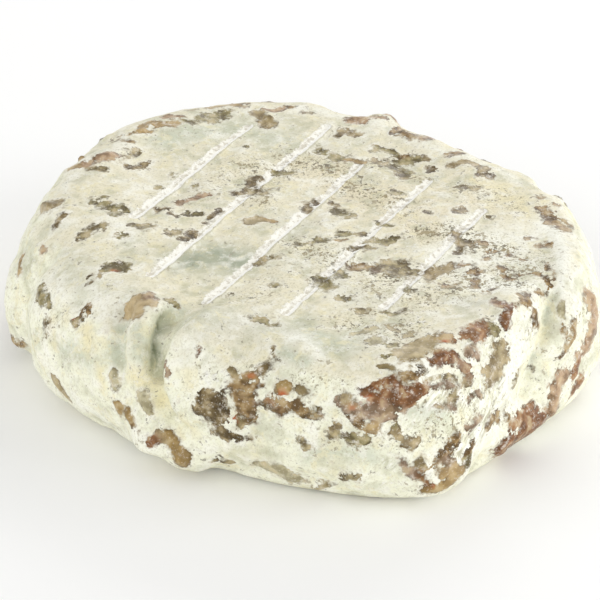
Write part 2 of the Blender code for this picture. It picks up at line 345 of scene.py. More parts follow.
# How broken up each tint's patches are: low for whole lumps, high for crumbling stains
rindBreakUp = {
    "olive": 1.4,
    "taupe": 1.5,
    "brown": 1.5,
    "dark": 1.2,
    "redBrown": 1.0,
    "pinkBrown": 1.1,
    "amber": 0.7,
    "greyAmber": 0.85,
    "beige": 0.6,
    "tan": 0.45,
    "mauve": 1.2,
    "umber": 0.65,
    "rust": 1.0,
    "fawn": 0.95,
    "honey": 0.6,
    "orange": 0.2,
}
rindPatches = {
    "olive": (
        (2.5, 92, 202, 99, 198, 105, 197), (3.6, 101, 205, 108, 207, 114, 213), (3, 121, 206, 125, 212),
        (3.4, 119, 237), (5, 112, 266, 119, 266), (3.5, 180, 119, 190, 122),
        (5, 200, 118, 212, 116, 224, 114), (2, 245, 147), (2.5, 156, 187, 162, 188), (2.5, 172, 174),
        (2.5, 193, 186), (2, 186, 212, 198, 213), (2.6, 275, 174, 288, 174), (3, 274, 285), (3, 230, 296),
        (2.4, 311, 150, 325, 154, 338, 158, 347, 158), (2.6, 376, 149, 384, 149, 394, 155),
        (4.4, 400, 161, 410, 160, 420, 161), (4, 382, 162, 392, 166, 400, 172, 406, 173),
        (2.6, 392, 192, 400, 193), (4, 334, 210, 346, 214), (3, 338, 233, 348, 234),
        (3, 312, 241, 322, 240), (2.6, 300, 245), (2.4, 366, 242, 375, 241), (3.4, 385, 242, 394, 238),
        (2.6, 379, 224, 392, 224), (2.4, 405, 291, 413, 289), (2.4, 391, 313, 399, 312),
        (2.2, 386, 346, 391, 345), (2.4, 386, 356, 392, 355), (4.5, 339, 272, 346, 277),
        (4.5, 321, 281, 329, 286), (3.5, 340, 297, 350, 297), (2.4, 40, 287, 40, 296, 42, 305),
        (2, 47, 298, 50, 304), (3.6, 257, 319, 267, 321), (2.4, 276, 323), (1.8, 166, 301, 174, 302),
        (3.4, 489, 328, 493, 331), (4.2, 498, 348, 500, 358), (4.5, 334, 434, 348, 438, 362, 443),
        (3.4, 394, 428), (2.8, 549, 350, 555, 353), (4, 466, 462),
    ),
    "taupe": (
        (4, 84, 236, 90, 229, 98, 226), (2, 33, 214, 30, 220), (2.5, 90, 168, 105, 170),
        (2.5, 125, 153, 137, 151), (2, 186, 110, 198, 109), (2.4, 132, 226, 142, 228, 154, 226),
        (4, 250, 192, 259, 190), (2, 264, 189, 272, 189), (3.2, 259, 265, 266, 260, 276, 257),
        (3, 168, 233, 180, 233), (1.8, 459, 187, 468, 188, 478, 190), (7, 386, 266, 396, 268, 406, 271),
        (3, 357, 250, 369, 249), (2.6, 360, 235, 366, 235), (2.4, 45, 322, 46, 328), (1.8, 491, 216),
        (3, 77, 323, 82, 318), (2, 219, 459, 231, 463), (2, 391, 325, 396, 331), (2.1, 402, 335, 410, 332),
        (2.4, 360, 310, 366, 314), (2.2, 376, 311), (2.8, 300, 441, 307, 447), (2.2, 325, 445),
        (3, 311, 414, 318, 411, 324, 408), (3.6, 430, 378, 444, 378, 454, 380), (3, 515, 378, 514, 384),
        (2.4, 340, 478, 354, 476), (2.4, 310, 484, 330, 485), (3.5, 453, 393),
    ),
    "brown": (
        (2, 116, 140, 125, 142, 134, 142), (2.5, 241, 106, 248, 104), (1.6, 283, 106, 296, 107),
        (3, 393, 133, 402, 130), (4.2, 402, 131, 412, 135, 424, 139), (3, 444, 153, 457, 153),
        (2, 398, 157, 408, 156), (5, 548, 215, 555, 221, 564, 227), (2.4, 555, 204, 560, 206),
        (2, 536, 196, 544, 197), (2, 542, 208), (2.8, 541, 246, 548, 246), (1.9, 528, 238, 536, 238),
        (1.9, 478, 242, 484, 242), (1.9, 486, 253, 498, 251), (1.8, 508, 256, 518, 258, 524, 259),
        (2.2, 455, 266, 466, 264, 478, 263, 486, 260), (4, 356, 267, 368, 267, 375, 270),
        (2.6, 468, 273, 480, 272), (2.2, 474, 278, 475, 286), (2.4, 500, 268, 508, 270),
        (2, 505, 274, 509, 277), (2, 520, 275, 532, 273, 541, 276), (2.4, 544, 278, 548, 283, 547, 289),
        (2, 537, 291, 543, 295), (1.6, 547, 263, 549, 268), (1.6, 553, 270, 554, 276),
        (2.2, 486, 292, 494, 288), (3, 519, 302, 524, 297, 530, 296), (2, 444, 284, 456, 283),
        (2.4, 134, 430), (3.6, 257, 384, 262, 384), (6, 232, 386, 240, 384, 247, 392),
        (6, 247, 392, 249, 404, 251, 414), (6, 235, 398, 242, 412, 250, 421),
        (5.4, 278, 401, 288, 404, 298, 409), (3.8, 300, 410, 310, 414, 318, 413),
        (3.6, 402, 374, 418, 374, 410, 379), (6, 352, 416, 360, 424), (5.4, 456, 440, 450, 450, 441, 457),
        (2.4, 472, 441, 466, 452), (2.6, 425, 470, 431, 468), (4, 420, 479),
        (2.6, 535, 308, 536, 316, 535, 326), (3, 562, 326, 566, 336), (3, 573, 325, 568, 345, 563, 352),
        (3, 488, 424, 494, 418), (2, 502, 412, 504, 420), (2.8, 7, 338, 15, 341, 24, 344),
        (2.4, 84, 311, 88, 312),
    ),
    "dark": (
        (2, 63, 213, 57, 222, 55, 227), (2.3, 126, 165, 135, 166), (3, 142, 165, 149, 164),
        (2.4, 158, 212, 166, 210, 175, 214), (2.4, 236, 194, 247, 187, 257, 179),
        (2, 205, 222, 213, 214, 219, 210), (2.6, 185, 239, 194, 232), (2, 302, 113, 313, 113),
        (3, 482, 172, 489, 175), (3.2, 303, 211, 309, 206), (2.6, 318, 203, 330, 203, 338, 208),
        (2.2, 454, 210, 465, 209), (4.2, 376, 160, 388, 164, 398, 171, 405, 176),
        (3, 424, 159, 430, 164, 434, 170), (1.6, 422, 213, 430, 213), (3, 258, 371, 266, 366, 272, 361),
        (8, 206, 408, 213, 401), (8, 213, 401, 219, 410, 221, 420),
        (3.8, 214, 428, 224, 432, 236, 438, 249, 440), (3.6, 265, 403, 275, 408, 284, 414),
        (2.8, 302, 414, 308, 420, 311, 424), (2, 532, 371), (2.8, 455, 234, 460, 244, 458, 252),
        (2.4, 466, 240, 471, 252), (2, 335, 136), (2.1, 91, 276), (2.2, 99, 276), (2, 90, 283),
        (2.2, 422, 370, 420, 362), (1.6, 239, 326, 244, 326), (1.9, 424, 405, 436, 405, 446, 402, 458, 398),
        (1.9, 266, 366, 271, 356, 274, 347), (2, 262, 371, 270, 367, 278, 363),
    ),
    "redBrown": (
        (4, 500, 303, 506, 306), (7, 505, 310, 507, 319), (5, 362, 394, 376, 390, 392, 386, 400, 390),
        (6, 372, 400, 386, 402, 400, 398, 412, 393, 420, 390), (5.2, 434, 360, 442, 357, 452, 358),
        (3.2, 417, 474, 422, 480, 428, 485), (5, 152, 443, 160, 438), (2.5, 198, 349, 194, 354),
        (6.5, 533, 419, 525, 429, 515, 437, 505, 443),
        (5, 543, 420, 533, 427, 521, 435, 510, 443, 498, 450), (3.4, 541, 409, 537, 414),
        (4, 460, 362, 468, 370), (3, 552, 420, 544, 426),
    ),
    "pinkBrown": (
        (4, 90, 162, 100, 158, 113, 156), (3, 166, 117, 178, 116), (3, 268, 110, 280, 109),
        (3.6, 352, 120, 364, 118), (2.6, 366, 116, 376, 116, 383, 118), (3, 178, 203, 190, 199, 205, 196),
        (3, 4, 305, 6, 318, 8, 330), (3, 43, 251), (2.6, 464, 336),
        (6, 591, 300, 594, 315, 591, 330, 588, 342), (5, 562, 374, 556, 388, 554, 402, 552, 412),
        (3, 418, 137, 430, 138), (3, 464, 372, 472, 378),
    ),
    "amber": (
        (3, 74, 160, 84, 157), (2.4, 62, 172, 70, 168, 82, 165), (2.4, 120, 135, 135, 132, 150, 131),
        (2.4, 140, 128, 152, 122), (1.6, 22, 258, 19, 270, 20, 277), (4, 158, 124, 174, 123),
        (3, 214, 107, 226, 105, 238, 105), (2.4, 350, 161, 362, 162), (1.8, 336, 241, 343, 240),
        (3.6, 437, 338, 446, 337), (3, 265, 220, 272, 221), (3, 384, 413, 392, 410),
        (3.2, 244, 376, 250, 374, 254, 372), (5, 442, 472, 452, 467, 456, 472), (5, 450, 482, 457, 474),
        (5.5, 370, 428, 374, 424),
    ),
    "greyAmber": (
        (4.2, 561, 306, 563, 313), (2.6, 113, 371, 116, 375), (3.6, 116, 380, 118, 387),
        (3.6, 142, 395, 145, 399), (5, 147, 402, 149, 408), (2.4, 151, 415), (3, 371, 341, 379, 340),
        (2.2, 355, 333, 366, 331, 376, 328), (6, 270, 467, 280, 470, 289, 475),
    ),
    "umber": (
        (5.2, 424, 461, 426, 465), (3.2, 231, 369, 233, 378), (3.2, 240, 418, 244, 423), (6.2, 302, 390),
        (3.8, 387, 367, 392, 369), (4.4, 453, 396),
    ),
    "fawn": (
        (4.6, 44, 205, 54, 205), (4.6, 258, 114, 264, 118, 270, 122), (3.2, 343, 131, 350, 132, 357, 135),
        (2.6, 450, 165, 461, 163, 475, 164, 487, 168), (4.6, 427, 276, 438, 270, 449, 267),
        (5.6, 490, 377, 497, 368, 501, 356, 499, 348), (2.4, 462, 382, 472, 383), (4.2, 333, 425, 334, 434),
        (4.4, 346, 398, 352, 404), (5.6, 395, 433, 403, 438, 412, 442),
    ),
    "honey": (
        (5.8, 280, 388, 287, 388), (3.4, 246, 376, 250, 375, 254, 373), (2.8, 117, 405, 120, 410),
        (2.8, 126, 408, 129, 418, 133, 430), (7, 170, 438, 175, 448, 182, 459),
        (5, 428, 490, 440, 489, 450, 482),
    ),
    "rust": (
        (6, 470, 333, 480, 328), (3, 451, 338, 458, 338), (4.4, 578, 360, 574, 372),
        (3.6, 580, 380, 572, 392), (4, 512, 424, 522, 416, 530, 408), (3, 268, 400, 275, 406, 283, 414),
    ),
    "mauve": (
        (3, 144, 295, 152, 295, 158, 299), (1.6, 169, 358, 168, 364), (1.8, 170, 371, 168, 376),
        (7, 366, 410, 376, 411, 386, 408), (4, 455, 360, 464, 366), (5, 470, 350, 478, 358),
        (4.6, 405, 460, 411, 468, 413, 475), (3, 384, 418, 394, 412, 402, 406), (3.4, 470, 428, 478, 420),
        (3.6, 338, 403, 348, 409, 358, 413), (3.6, 446, 461, 452, 466), (2.2, 494, 299, 497, 308),
        (2.4, 432, 392, 446, 389, 458, 386), (2, 438, 402, 454, 406), (2, 470, 400, 480, 396),
        (2.2, 254, 402, 262, 404),
    ),
    "tan": (
        (5.8, 135, 308, 141, 303, 149, 300), (3.4, 131, 316, 138, 314), (4, 240, 390, 246, 400),
    ),
    "beige": (
        (3.2, 53, 378, 58, 385, 67, 396), (4, 249, 221, 258, 220), (4, 160, 434, 166, 442),
        (6.6, 406, 352, 414, 348, 424, 344, 430, 341),
    ),
    "orange": (
        (2, 117, 269), (1.8, 88, 220), (1.8, 75, 315), (2, 251, 375, 254, 373), (1.8, 280, 393, 285, 393),
        (1.5, 233, 413, 235, 420), (2.3, 361, 402, 368, 400), (2, 352, 405), (2, 445, 339), (1.6, 507, 443),
        (1.6, 433, 486),
    ),
}
# Patches on the sides that the photo doesn't show, strewn by chance in the same sizes
strewnPatches = {
    "seed": 11,
    "sideCount": 150,
    "footCount": 60,
    "sideKinds": ("brown", "brown", "redBrown", "amber", "taupe", "dark", "olive", "greyAmber", "pinkBrown"),
    "footKinds": ("olive", "taupe", "dark", "brown"),
    "leastWidth": 0.7,
    "widthSpread": 0.9,
    "mostWidth": 3.2 * mm,
    "stepShare": 2.2,
    "mostSteps": 4,
}


seenReach = 2.5 * mm   # a ray that ends this near a point counts as seeing it


def findSeen(surface):   # which points the camera sees
    seen = np.zeros(len(surface.points), bool)
    for k, (point, normal) in enumerate(zip(surface.points, surface.normals)):
        ray = Vector(point) - surface.eye
        if ray.dot(normal) < 0:
            hit = surface.tree.ray_cast(surface.eye, ray.normalized())[0]
            seen[k] = hit is not None and (hit - Vector(point)).length < seenReach
    return seen


def turnedAwayShare(surface):   # 1 where the skin faces straight away from the camera, -1 where it faces it
    sight = surface.points - np.array(surface.eye)
    return (sight * surface.normals).sum(1) / np.linalg.norm(sight, axis=1)


def strewSide(surface, chance):   # a place on the wall: a ray from outside, level, towards the middle
    angle = chance.uniform(0, math.tau)
    height = chance.uniform(1, 50) * mm
    outward = Vector((math.cos(angle), math.sin(angle), 0))
    place, normal = surface.tree.ray_cast(outward * 300 * mm + Vector((0, 0, height)), -outward)[:2]
    sight = (place - surface.eye).normalized() if place else outward
    return place if place and sight.dot(normal) > 0.25 else None


def strewFoot(surface, chance):   # a place on the underside: a ray from below, straight up
    x, y = chance.uniform(-100, 100, 2) * mm
    place, normal = surface.tree.ray_cast(Vector((x, y, -10 * mm)), Vector((0, 0, 1)))[:2]
    return place if place and normal.z < -0.9 else None


def strewPaths(surface):
    chance = np.random.default_rng(strewnPatches["seed"])
    places = []
    for strew, count, kinds in (
        (strewSide, strewnPatches["sideCount"], strewnPatches["sideKinds"]),
        (strewFoot, strewnPatches["footCount"], strewnPatches["footKinds"]),
    ):
        made = 0
        while made < count:
            start = strew(surface, chance)
            if start is None:
                continue
            made += 1
            width = mm * (strewnPatches["leastWidth"] + strewnPatches["widthSpread"] * chance.exponential())
            path = [np.array(start)]
            for _ in range(chance.integers(0, strewnPatches["mostSteps"])):
                step = chance.normal(size=3) * strewnPatches["stepShare"] * width
                path.append(np.array(surface.tree.find_nearest(Vector(path[-1] + step))[0]))
            places.append((chance.choice(kinds), min(width, strewnPatches["mostWidth"]), path))
    return places


patchLook = {
    "softShare": 0.3,   # of the patch's half width
    "softLeast": 0.45 * mm,
    "leastFacing": 0.55,
    "orangeWeight": 5,
    "sideRise": 0.9 * mm,
    "topRise": -0.3 * mm,
}


def paintPatches(piece):
    surface = Surface(piece)
    seen = findSeen(surface)
    surface.warp()
    bare = np.full(len(surface.points), -2.0)
    tint = np.tile(rindColours["brown"] * 1e-4, (len(surface.points), 1))
    breakUp = np.full(len(surface.points), 1e-4)
    total = np.full(len(surface.points), 1e-4)
    patches = []
    for kind, strokes in rindPatches.items():
        for width, *numbers in strokes:
            path = surface.path(numbers)
            if path:
                reach = width * pixelSize / max(patchLook["leastFacing"], surface.facing(path[0]))
                patches.append((kind, reach, path))
    shownCount = len(patches)
    patches += strewPaths(surface)
    facingShare = 1 - fadeStep(turnedAwayShare(surface), -0.05, 0.25)
    for k, (kind, width, path) in enumerate(patches):
        softness = patchLook["softShare"] * width + patchLook["softLeast"]
        near, gap = surface.away(path, width + 2 * softness)
        field = (width - gap) / softness
        if k >= shownCount:
            field -= 3 * facingShare[near]
        weight = np.clip(field + 1.2, 0, 3) ** 3
        if kind == "orange":
            weight *= patchLook["orangeWeight"]
        else:
            bare[near] = np.maximum(bare[near], field)
        tint[near] += weight[:, None] * rindColours[kind]
        breakUp[near] += weight * rindBreakUp[kind]
        total[near] += weight
    return surface, seen, np.clip(bare, -2, 2), tint / total[:, None], breakUp / total


def shapePatches(piece, surface, bare):   # bare lumps stand out on the sides, and lie lower on the top
    flat = fadeStep(surface.normals[:, 2], *flatTop)
    rise = patchLook["sideRise"] + (patchLook["topRise"] - patchLook["sideRise"]) * flat
    lift = rise * fadeStep(bare, -0.4, 1.6) * (surface.points[:, 2] > 2 * mm)
    setPoints(piece, surface.points + surface.normals * lift[:, None])


surface, seen, bareField, bareTint, breakUpField = paintPatches(wheel)
shapePatches(wheel, surface, bareField)
print("bare patches laid:", int((bareField > 0).sum()), "points")


# Mould coat: its colours, and where broad zones of them lie, among them painted shade in creases and painted
# light on walls
coatColours = {
    # side: the walls' coat, lighter than the top's cream: partly the top's own warmer tone, partly painted
    # light where the front light falls on the walls
    "side": paint(243, 243, 220),
    "white": paint(250, 250, 238),
    "cream": paint(234, 228, 203),
    "warm": paint(232, 222, 194),
    "yellow": paint(238, 227, 182),
    "greyGreen": paint(196, 202, 182),
    "deepGreen": paint(122, 128, 102),
    "grey": paint(214, 214, 200),
}
coatZones = (   # colour, strength, half width in pixels, then pixels along the zone
    ("greyGreen", 0.8, 22, 165, 138, 200, 132, 235, 128), ("greyGreen", 0.7, 20, 262, 135, 280, 140),
    ("greyGreen", 1.0, 20, 190, 262, 215, 255, 240, 262), ("greyGreen", 0.3, 25, 75, 262, 95, 285),
    ("grey", 0.7, 22, 210, 318, 250, 322, 290, 335), ("greyGreen", 0.6, 12, 300, 322, 330, 345, 355, 335),
    # The next four zones are painted shade down the fold's crease and the second fold's crease, over the
    # coat's own grey-green there
    ("greyGreen", 0.9, 9, 176, 308, 164, 318, 157, 332, 154, 345, 156, 364),
    ("deepGreen", 0.95, 4.5, 160, 316, 157, 333, 155, 350, 156, 368),
    ("deepGreen", 0.7, 3, 158, 322, 157, 338, 155, 350, 156, 372),
    ("deepGreen", 0.5, 7, 124, 326, 120, 345, 122, 362),
    # Second zone here: painted shade in the crease of the fold's foot
    ("greyGreen", 0.8, 9, 140, 332, 138, 346, 141, 360), ("greyGreen", 0.6, 9, 166, 392, 172, 408),
    # White mould on the right rim fold, laid stronger as painted light on that rim
    ("white", 1.0, 11, 548, 222, 560, 240, 564, 262, 562, 290),
    ("white", 0.7, 16, 522, 325, 514, 350, 508, 380), ("white", 0.8, 16, 506, 400, 490, 425, 470, 450),
    ("white", 0.6, 10, 575, 300, 572, 330),
    ("white", 0.7, 8, 300, 108, 330, 113, 380, 124, 430, 146, 480, 162, 520, 182),
    ("white", 0.7, 9, 100, 150, 80, 168, 62, 188),
    # Painted shade in the second fold's crease; the next line's second zone is painted shade in the fold's
    # mouth
    ("greyGreen", 0.9, 8, 126, 310, 121, 330, 118, 348, 120, 362),
    ("greyGreen", 0.7, 10, 64, 350, 80, 352, 96, 366), ("greyGreen", 0.5, 10, 200, 312, 186, 322),
    ("yellow", 0.8, 7, 51, 322, 54, 338), ("yellow", 0.8, 8, 84, 330, 92, 350),
    ("yellow", 0.8, 6, 99, 372, 104, 388), ("yellow", 0.75, 13, 136, 376, 146, 384, 158, 398),
    ("yellow", 0.7, 8, 186, 368, 192, 384), ("yellow", 0.45, 8, 166, 404, 182, 420, 192, 430),
    ("yellow", 0.6, 8, 64, 300, 68, 320), ("yellow", 0.5, 10, 330, 470, 342, 462),
    ("greyGreen", 0.7, 9, 312, 458, 330, 454, 372, 456), ("greyGreen", 0.85, 12, 408, 406, 440, 412),
    ("greyGreen", 0.85, 9, 284, 357, 302, 361), ("greyGreen", 0.75, 12, 322, 340, 340, 350),
    # First zone here: painted shade along the right rim crease
    ("deepGreen", 0.6, 2.6, 555, 294, 549, 310, 544, 330), ("yellow", 0.5, 12, 230, 452, 262, 456),
    ("white", 1.0, 8, 290, 339, 300, 337, 312, 342, 320, 350), ("white", 0.6, 14, 190, 345, 205, 372),
    ("warm", 0.8, 40, 320, 170, 350, 200, 400, 200), ("warm", 0.7, 35, 420, 230, 470, 200),
    ("warm", 0.5, 30, 200, 190, 230, 200), ("white", 0.6, 22, 500, 240, 520, 262),
    ("yellow", 0.4, 20, 470, 180, 520, 205), ("white", 0.5, 20, 40, 190, 60, 160, 110, 128),
    # Second zone here: painted light that lifts the lower left wall out of its shade
    ("white", 0.7, 16, 130, 240, 118, 226), ("white", 0.7, 12, 72, 398, 98, 416, 128, 436, 148, 448),
    ("white", 0.65, 18, 55, 275, 62, 295, 80, 305, 105, 300), ("grey", 0.6, 20, 290, 235, 300, 222),
    ("grey", 0.4, 28, 185, 185, 215, 197), ("grey", 0.4, 22, 300, 142, 340, 146),
    ("grey", 0.4, 20, 300, 262, 345, 258), ("deepGreen", 0.2, 16, 368, 166, 398, 176),
    ("grey", 0.5, 22, 352, 290, 380, 300), ("white", 0.8, 13, 470, 258, 500, 260, 530, 265),
    ("white", 0.8, 10, 462, 292, 500, 284, 530, 286), ("deepGreen", 0.48, 22, 182, 262, 215, 256, 236, 262),
    ("grey", 0.5, 18, 360, 345, 400, 322), ("white", 0.9, 8, 400, 366, 425, 362),
    ("white", 0.8, 6, 118, 318, 122, 305), ("white", 1.0, 5, 431, 475),
    ("white", 0.85, 20, 440, 256, 470, 275, 520, 288), ("white", 0.7, 12, 450, 228, 470, 214),
    ("white", 0.6, 22, 470, 240, 510, 240, 545, 232), ("white", 0.5, 16, 340, 262, 380, 262, 410, 285),
    ("grey", 0.8, 12, 455, 300, 470, 306, 485, 302),
    # Painted shade along the right rim crease
    ("greyGreen", 0.8, 4.5, 556, 290, 549, 306, 544, 326, 538, 346, 530, 370),
)
speckZones = (   # strength, half width in pixels, then pixels along the zone
    (1.1, 16, 440, 228, 475, 240, 505, 250), (0.9, 14, 430, 268, 490, 284, 520, 284),
    (1.0, 14, 350, 265, 400, 280), (0.85, 28, 290, 160, 330, 168, 360, 188, 400, 208),
    (0.9, 14, 368, 164, 400, 172, 425, 180), (0.95, 24, 425, 232, 455, 232, 500, 250),
    (0.9, 22, 300, 245, 340, 262), (0.8, 26, 440, 290, 500, 280, 530, 262), (0.7, 25, 370, 285, 420, 300),
    (0.7, 20, 280, 178, 310, 165), (0.5, 26, 200, 198, 230, 170), (0.4, 30, 240, 300, 300, 270),
    (0.5, 16, 60, 318, 45, 330), (0.5, 20, 100, 200), (0.35, 26, 430, 400, 470, 400, 500, 410),
    (0.25, 22, 330, 410, 290, 420), (0.5, 16, 590, 300, 570, 330), (0.7, 24, 250, 165, 262, 200),
    (0.6, 26, 460, 190, 520, 205), (0.8, 20, 350, 322, 380, 338, 410, 325), (1.0, 7, 355, 311, 385, 312),
    (0.45, 14, 330, 445, 380, 440), (0.3, 14, 195, 355, 210, 375, 262, 360), (0.6, 12, 300, 375, 340, 385),
    (0.6, 18, 400, 440, 440, 425, 480, 415),
)
strandZones = (   # where the mould lies in slanting strands, in the same order
    (0.9, 12, 498, 330, 490, 352, 500, 380), (0.9, 15, 500, 395, 486, 420, 470, 440, 462, 452),
    (0.7, 15, 432, 398, 460, 396, 488, 390), (0.4, 12, 400, 420, 430, 424), (0.8, 10, 470, 335, 468, 352),
    (0.7, 10, 535, 318, 528, 345, 520, 372), (0.6, 9, 378, 462, 396, 470),
)


def zoneShare(surface, strength, width, numbers):   # the points near a zone, and how strongly it covers each
    path = surface.path(numbers)
    if not path:
        return np.zeros(0, int), np.zeros(0)
    near, gap = surface.away(path, 2.5 * width * pixelSize)
    return near, strength * np.exp(-((gap / (width * pixelSize)) ** 2))


def zoneSum(surface, zones):
    values = np.zeros(len(surface.points))
    for strength, width, *numbers in zones:
        near, share = zoneShare(surface, strength, width, numbers)
        values[near] = np.maximum(values[near], share)
    return values


hiddenClouds = (("greyGreen", 24, 0.0), ("yellow", 17, 3.7), ("warm", 35, 8.1))   # colour, size in mm, shift


def paintCoat(surface, seen):
    points = surface.points
    # The walls get the lighter side coat and the top the cream: partly the top's own warmer tone, partly
    # painted light on the walls
    topShare = fadeStep(surface.normals[:, 2], 0.55, 0.95)[:, None]
    colours = coatColours["cream"] * topShare + coatColours["side"] * (1 - topShare)
    clean = np.zeros(len(points))
    for name, strength, width, *numbers in coatZones:
        near, share = zoneShare(surface, strength, width, numbers)
        colours[near] = colours[near] * (1 - share[:, None]) + coatColours[name] * share[:, None]
        if name == "white":
            clean[near] = np.maximum(clean[near], share)
    hidden = np.flatnonzero(~seen)
    for name, size, shift in hiddenClouds:
        offset = Vector((shift, 0, 0))
        waves = np.array([noise.noise(Vector(point) / (size * mm) + offset) for point in points[hidden]])
        share = (0.75 * fadeStep(waves, 0.05, 0.55))[:, None]
        colours[hidden] = colours[hidden] * (1 - share) + coatColours[name] * share
    return colours, clean


coatTint, cleanField = paintCoat(surface, seen)
speckField = np.maximum(zoneSum(surface, speckZones), np.where(seen, 0.15, 0.35))
strandField = zoneSum(surface, strandZones)
print("coat coloured")


def storeField(piece, name, values):
    if values.ndim == 1:
        layer = piece.data.attributes.new(name, "FLOAT", "POINT")
        layer.data.foreach_set("value", values.astype(np.float32))
    else:
        layer = piece.data.attributes.new(name, "FLOAT_COLOR", "POINT")
        opaque = np.column_stack((values, np.ones(len(values))))
        layer.data.foreach_set("color", opaque.astype(np.float32).ravel())


wheelFields = {
    "bare": bareField,
    "bareTint": bareTint,
    "breakUp": breakUpField,
    "coatTint": coatTint,
    "groove": grooveField,
    "across": acrossField,
    "specks": speckField,
    "hollow": hollowField,
    "strands": strandField,
    "clean": cleanField,
}
for fieldName, fieldValues in wheelFields.items():
    storeField(wheel, fieldName, fieldValues)


class Wire:   # one socket of the rind's nodes, so that shader maths reads as plain arithmetic
    tree = None

    def __init__(self, socket):
        self.socket = socket

    @classmethod
    def node(cls, kind, settings, sockets, output=0):
        made = cls.tree.nodes.new(kind)
        for name, value in settings.items():
            setattr(made, name, value)
        for name, value in sockets.items():
            if isinstance(value, Wire):
                cls.tree.links.new(value.socket, made.inputs[name])
            else:
                made.inputs[name].default_value = value
        return cls(made.outputs[output])

    def maths(self, operation, first, second):
        return Wire.node("ShaderNodeMath", {"operation": operation}, {0: first, 1: second})

    def __add__(self, other):
        return self.maths("ADD", self, other)

    def __radd__(self, other):
        return self.maths("ADD", other, self)

    def __sub__(self, other):
        return self.maths("SUBTRACT", self, other)

    def __rsub__(self, other):
        return self.maths("SUBTRACT", other, self)

    def __mul__(self, other):
        return self.maths("MULTIPLY", self, other)

    def __rmul__(self, other):
        return self.maths("MULTIPLY", other, self)

    def __truediv__(self, other):
        return self.maths("DIVIDE", self, other)

    def greater(self, other):
        return self.maths("MAXIMUM", self, other)


def stepUp(value, low, high):   # 0 below low, 1 above high, smooth between
    limits = {"Value": value, "From Min": low, "From Max": high}
    return Wire.node("ShaderNodeMapRange", {"interpolation_type": "SMOOTHSTEP"}, limits)


def blendColour(share, first, second, how="MIX"):
    settings = {"data_type": "RGBA", "blend_type": how, "clamp_factor": True}
    return Wire.node("ShaderNodeMix", settings, {0: share, 6: first, 7: second}, 2)


def grain(place, size, detail=2.0, roughness=0.5, distortion=0.0):   # noise of a size in mm, around 0.5
    sockets = {
        "Vector": place,
        "Scale": 1 / (size * mm),
        "Detail": detail,
        "Roughness": roughness,
        "Distortion": distortion,
    }
    return Wire.node("ShaderNodeTexNoise", {}, sockets)


def attribute(name, output=2):
    return Wire.node("ShaderNodeAttribute", {"attribute_name": name}, {}, output)


def solid(colour):
    return (*colour, 1)


rindLook = {
    "edgeWidth": 0.14,
    "coarseRagged": 4.2,
    "fineRagged": 3.2,
    "spread": 0.4,
    "shrink": 0.25,
    "coatRoughness": 0.85,
    "bareRoughness": 0.3,
    "dustRoughness": 0.4,
    "specular": 0.25,
    "coatStep": 0.35 * mm,
    "bumpStrength": 0.8,
    "strandSlant": (0, 0.73, 0.53),
    "strandLength": 4.5,
}
# Each noise of the rind: size in mm, then detail, roughness and distortion where they aren't the usual ones
rindGrains = {
    "coarse": (4.2, 3, 0.55),
    "fine": (1.3, 3, 0.6),
    "crumbs": (1.3, 4, 0.65),
    "markGaps": (9, 2),
    "strands": (1.5, 3, 0.55, 0.8),
    "softEdges": (5.5, 2),
    "crowd": (8, 3, 0.6),
    "smallFlecks": (1.7, 3, 0.62),
    "largeFlecks": (3.4, 4, 0.66),
    "dots": (0.8, 3, 0.6),
    "fluff": (1.5, 4, 0.65),
    "clouds": (11, 3, 0.6),
    "yellowClouds": (6, 4, 0.62, 0.5),
    "frost": (3.4, 5, 0.7),
    "grit": (0.8, 3, 0.72),
    "haze": (2.6, 5, 0.7, 0.4),
    "wear": (16, 2),
    "middleGrain": (2.2, 5, 0.7),
    "depth": (3.4, 2, 0.5),
    "powder": (2.4, 6, 0.72),
    "powderAreas": (7, 2),
    "fineDust": (1.0, 5, 0.75),
    "fleckTints": (4, 2),
    "tooth": (0.4, 2, 0.6),
}
# What is blended over the coat and the rind: the most it covers, and its colour
rindStains = {
    "cloud": (0.5, paint(200, 201, 178)),
    "yellowCloud": (0.5, paint(236, 227, 186)),
    # Painted shade in the hollows between the coat's lumps, and painted light on their crests
    "hollow": (0.55, paint(188, 188, 160)),
    "crestLight": (0.6, paint(251, 250, 238)),
    "frost": (1.0, paint(250, 249, 238)),
    "fluffShade": (1.0, paint(192, 186, 156)),
    "grit": (1.0, paint(160, 150, 116)),
    "halo": (0.4, paint(251, 250, 240)),
    "haze": (0.55, paint(188, 175, 147)),
    "strand": (0.8, paint(252, 251, 242)),
    "strandGap": (0.7, paint(170, 164, 140)),
    "mark": (0.95, paint(254, 252, 242)),
    "wornMark": (0.65, paint(196, 190, 166)),
    "markMiddleGrey": (0.8, paint(202, 194, 176)),
    "brightLine": (0.9, paint(255, 254, 248)),
    "markShade": (0.5, paint(186, 182, 158)),
    # Darker bare rind where the depth grain runs low, where the bump sits low too
    "deepRind": (0.7, (0.42, 0.38, 0.31)),
    # Painted highlight on the bare rind where the depth grain runs high
    "rindHighlight": (1.0, paint(216, 198, 158)),
    # Darker patch rims: partly the rind's own darker edges, partly painted shadow at the edges of the lumps
    "darkRim": (0.75, (0.54, 0.5, 0.42)),
    "dust": (1.0, paint(238, 232, 220)),
}
fleckColours = {"dark": paint(92, 80, 50), "pale": paint(156, 141, 104)}


def grainOf(place, name):
    return grain(place, *rindGrains[name])


def stained(base, name, share, how="MIX"):
    most, colour = rindStains[name]
    return blendColour(share * most, base, solid(colour), how)


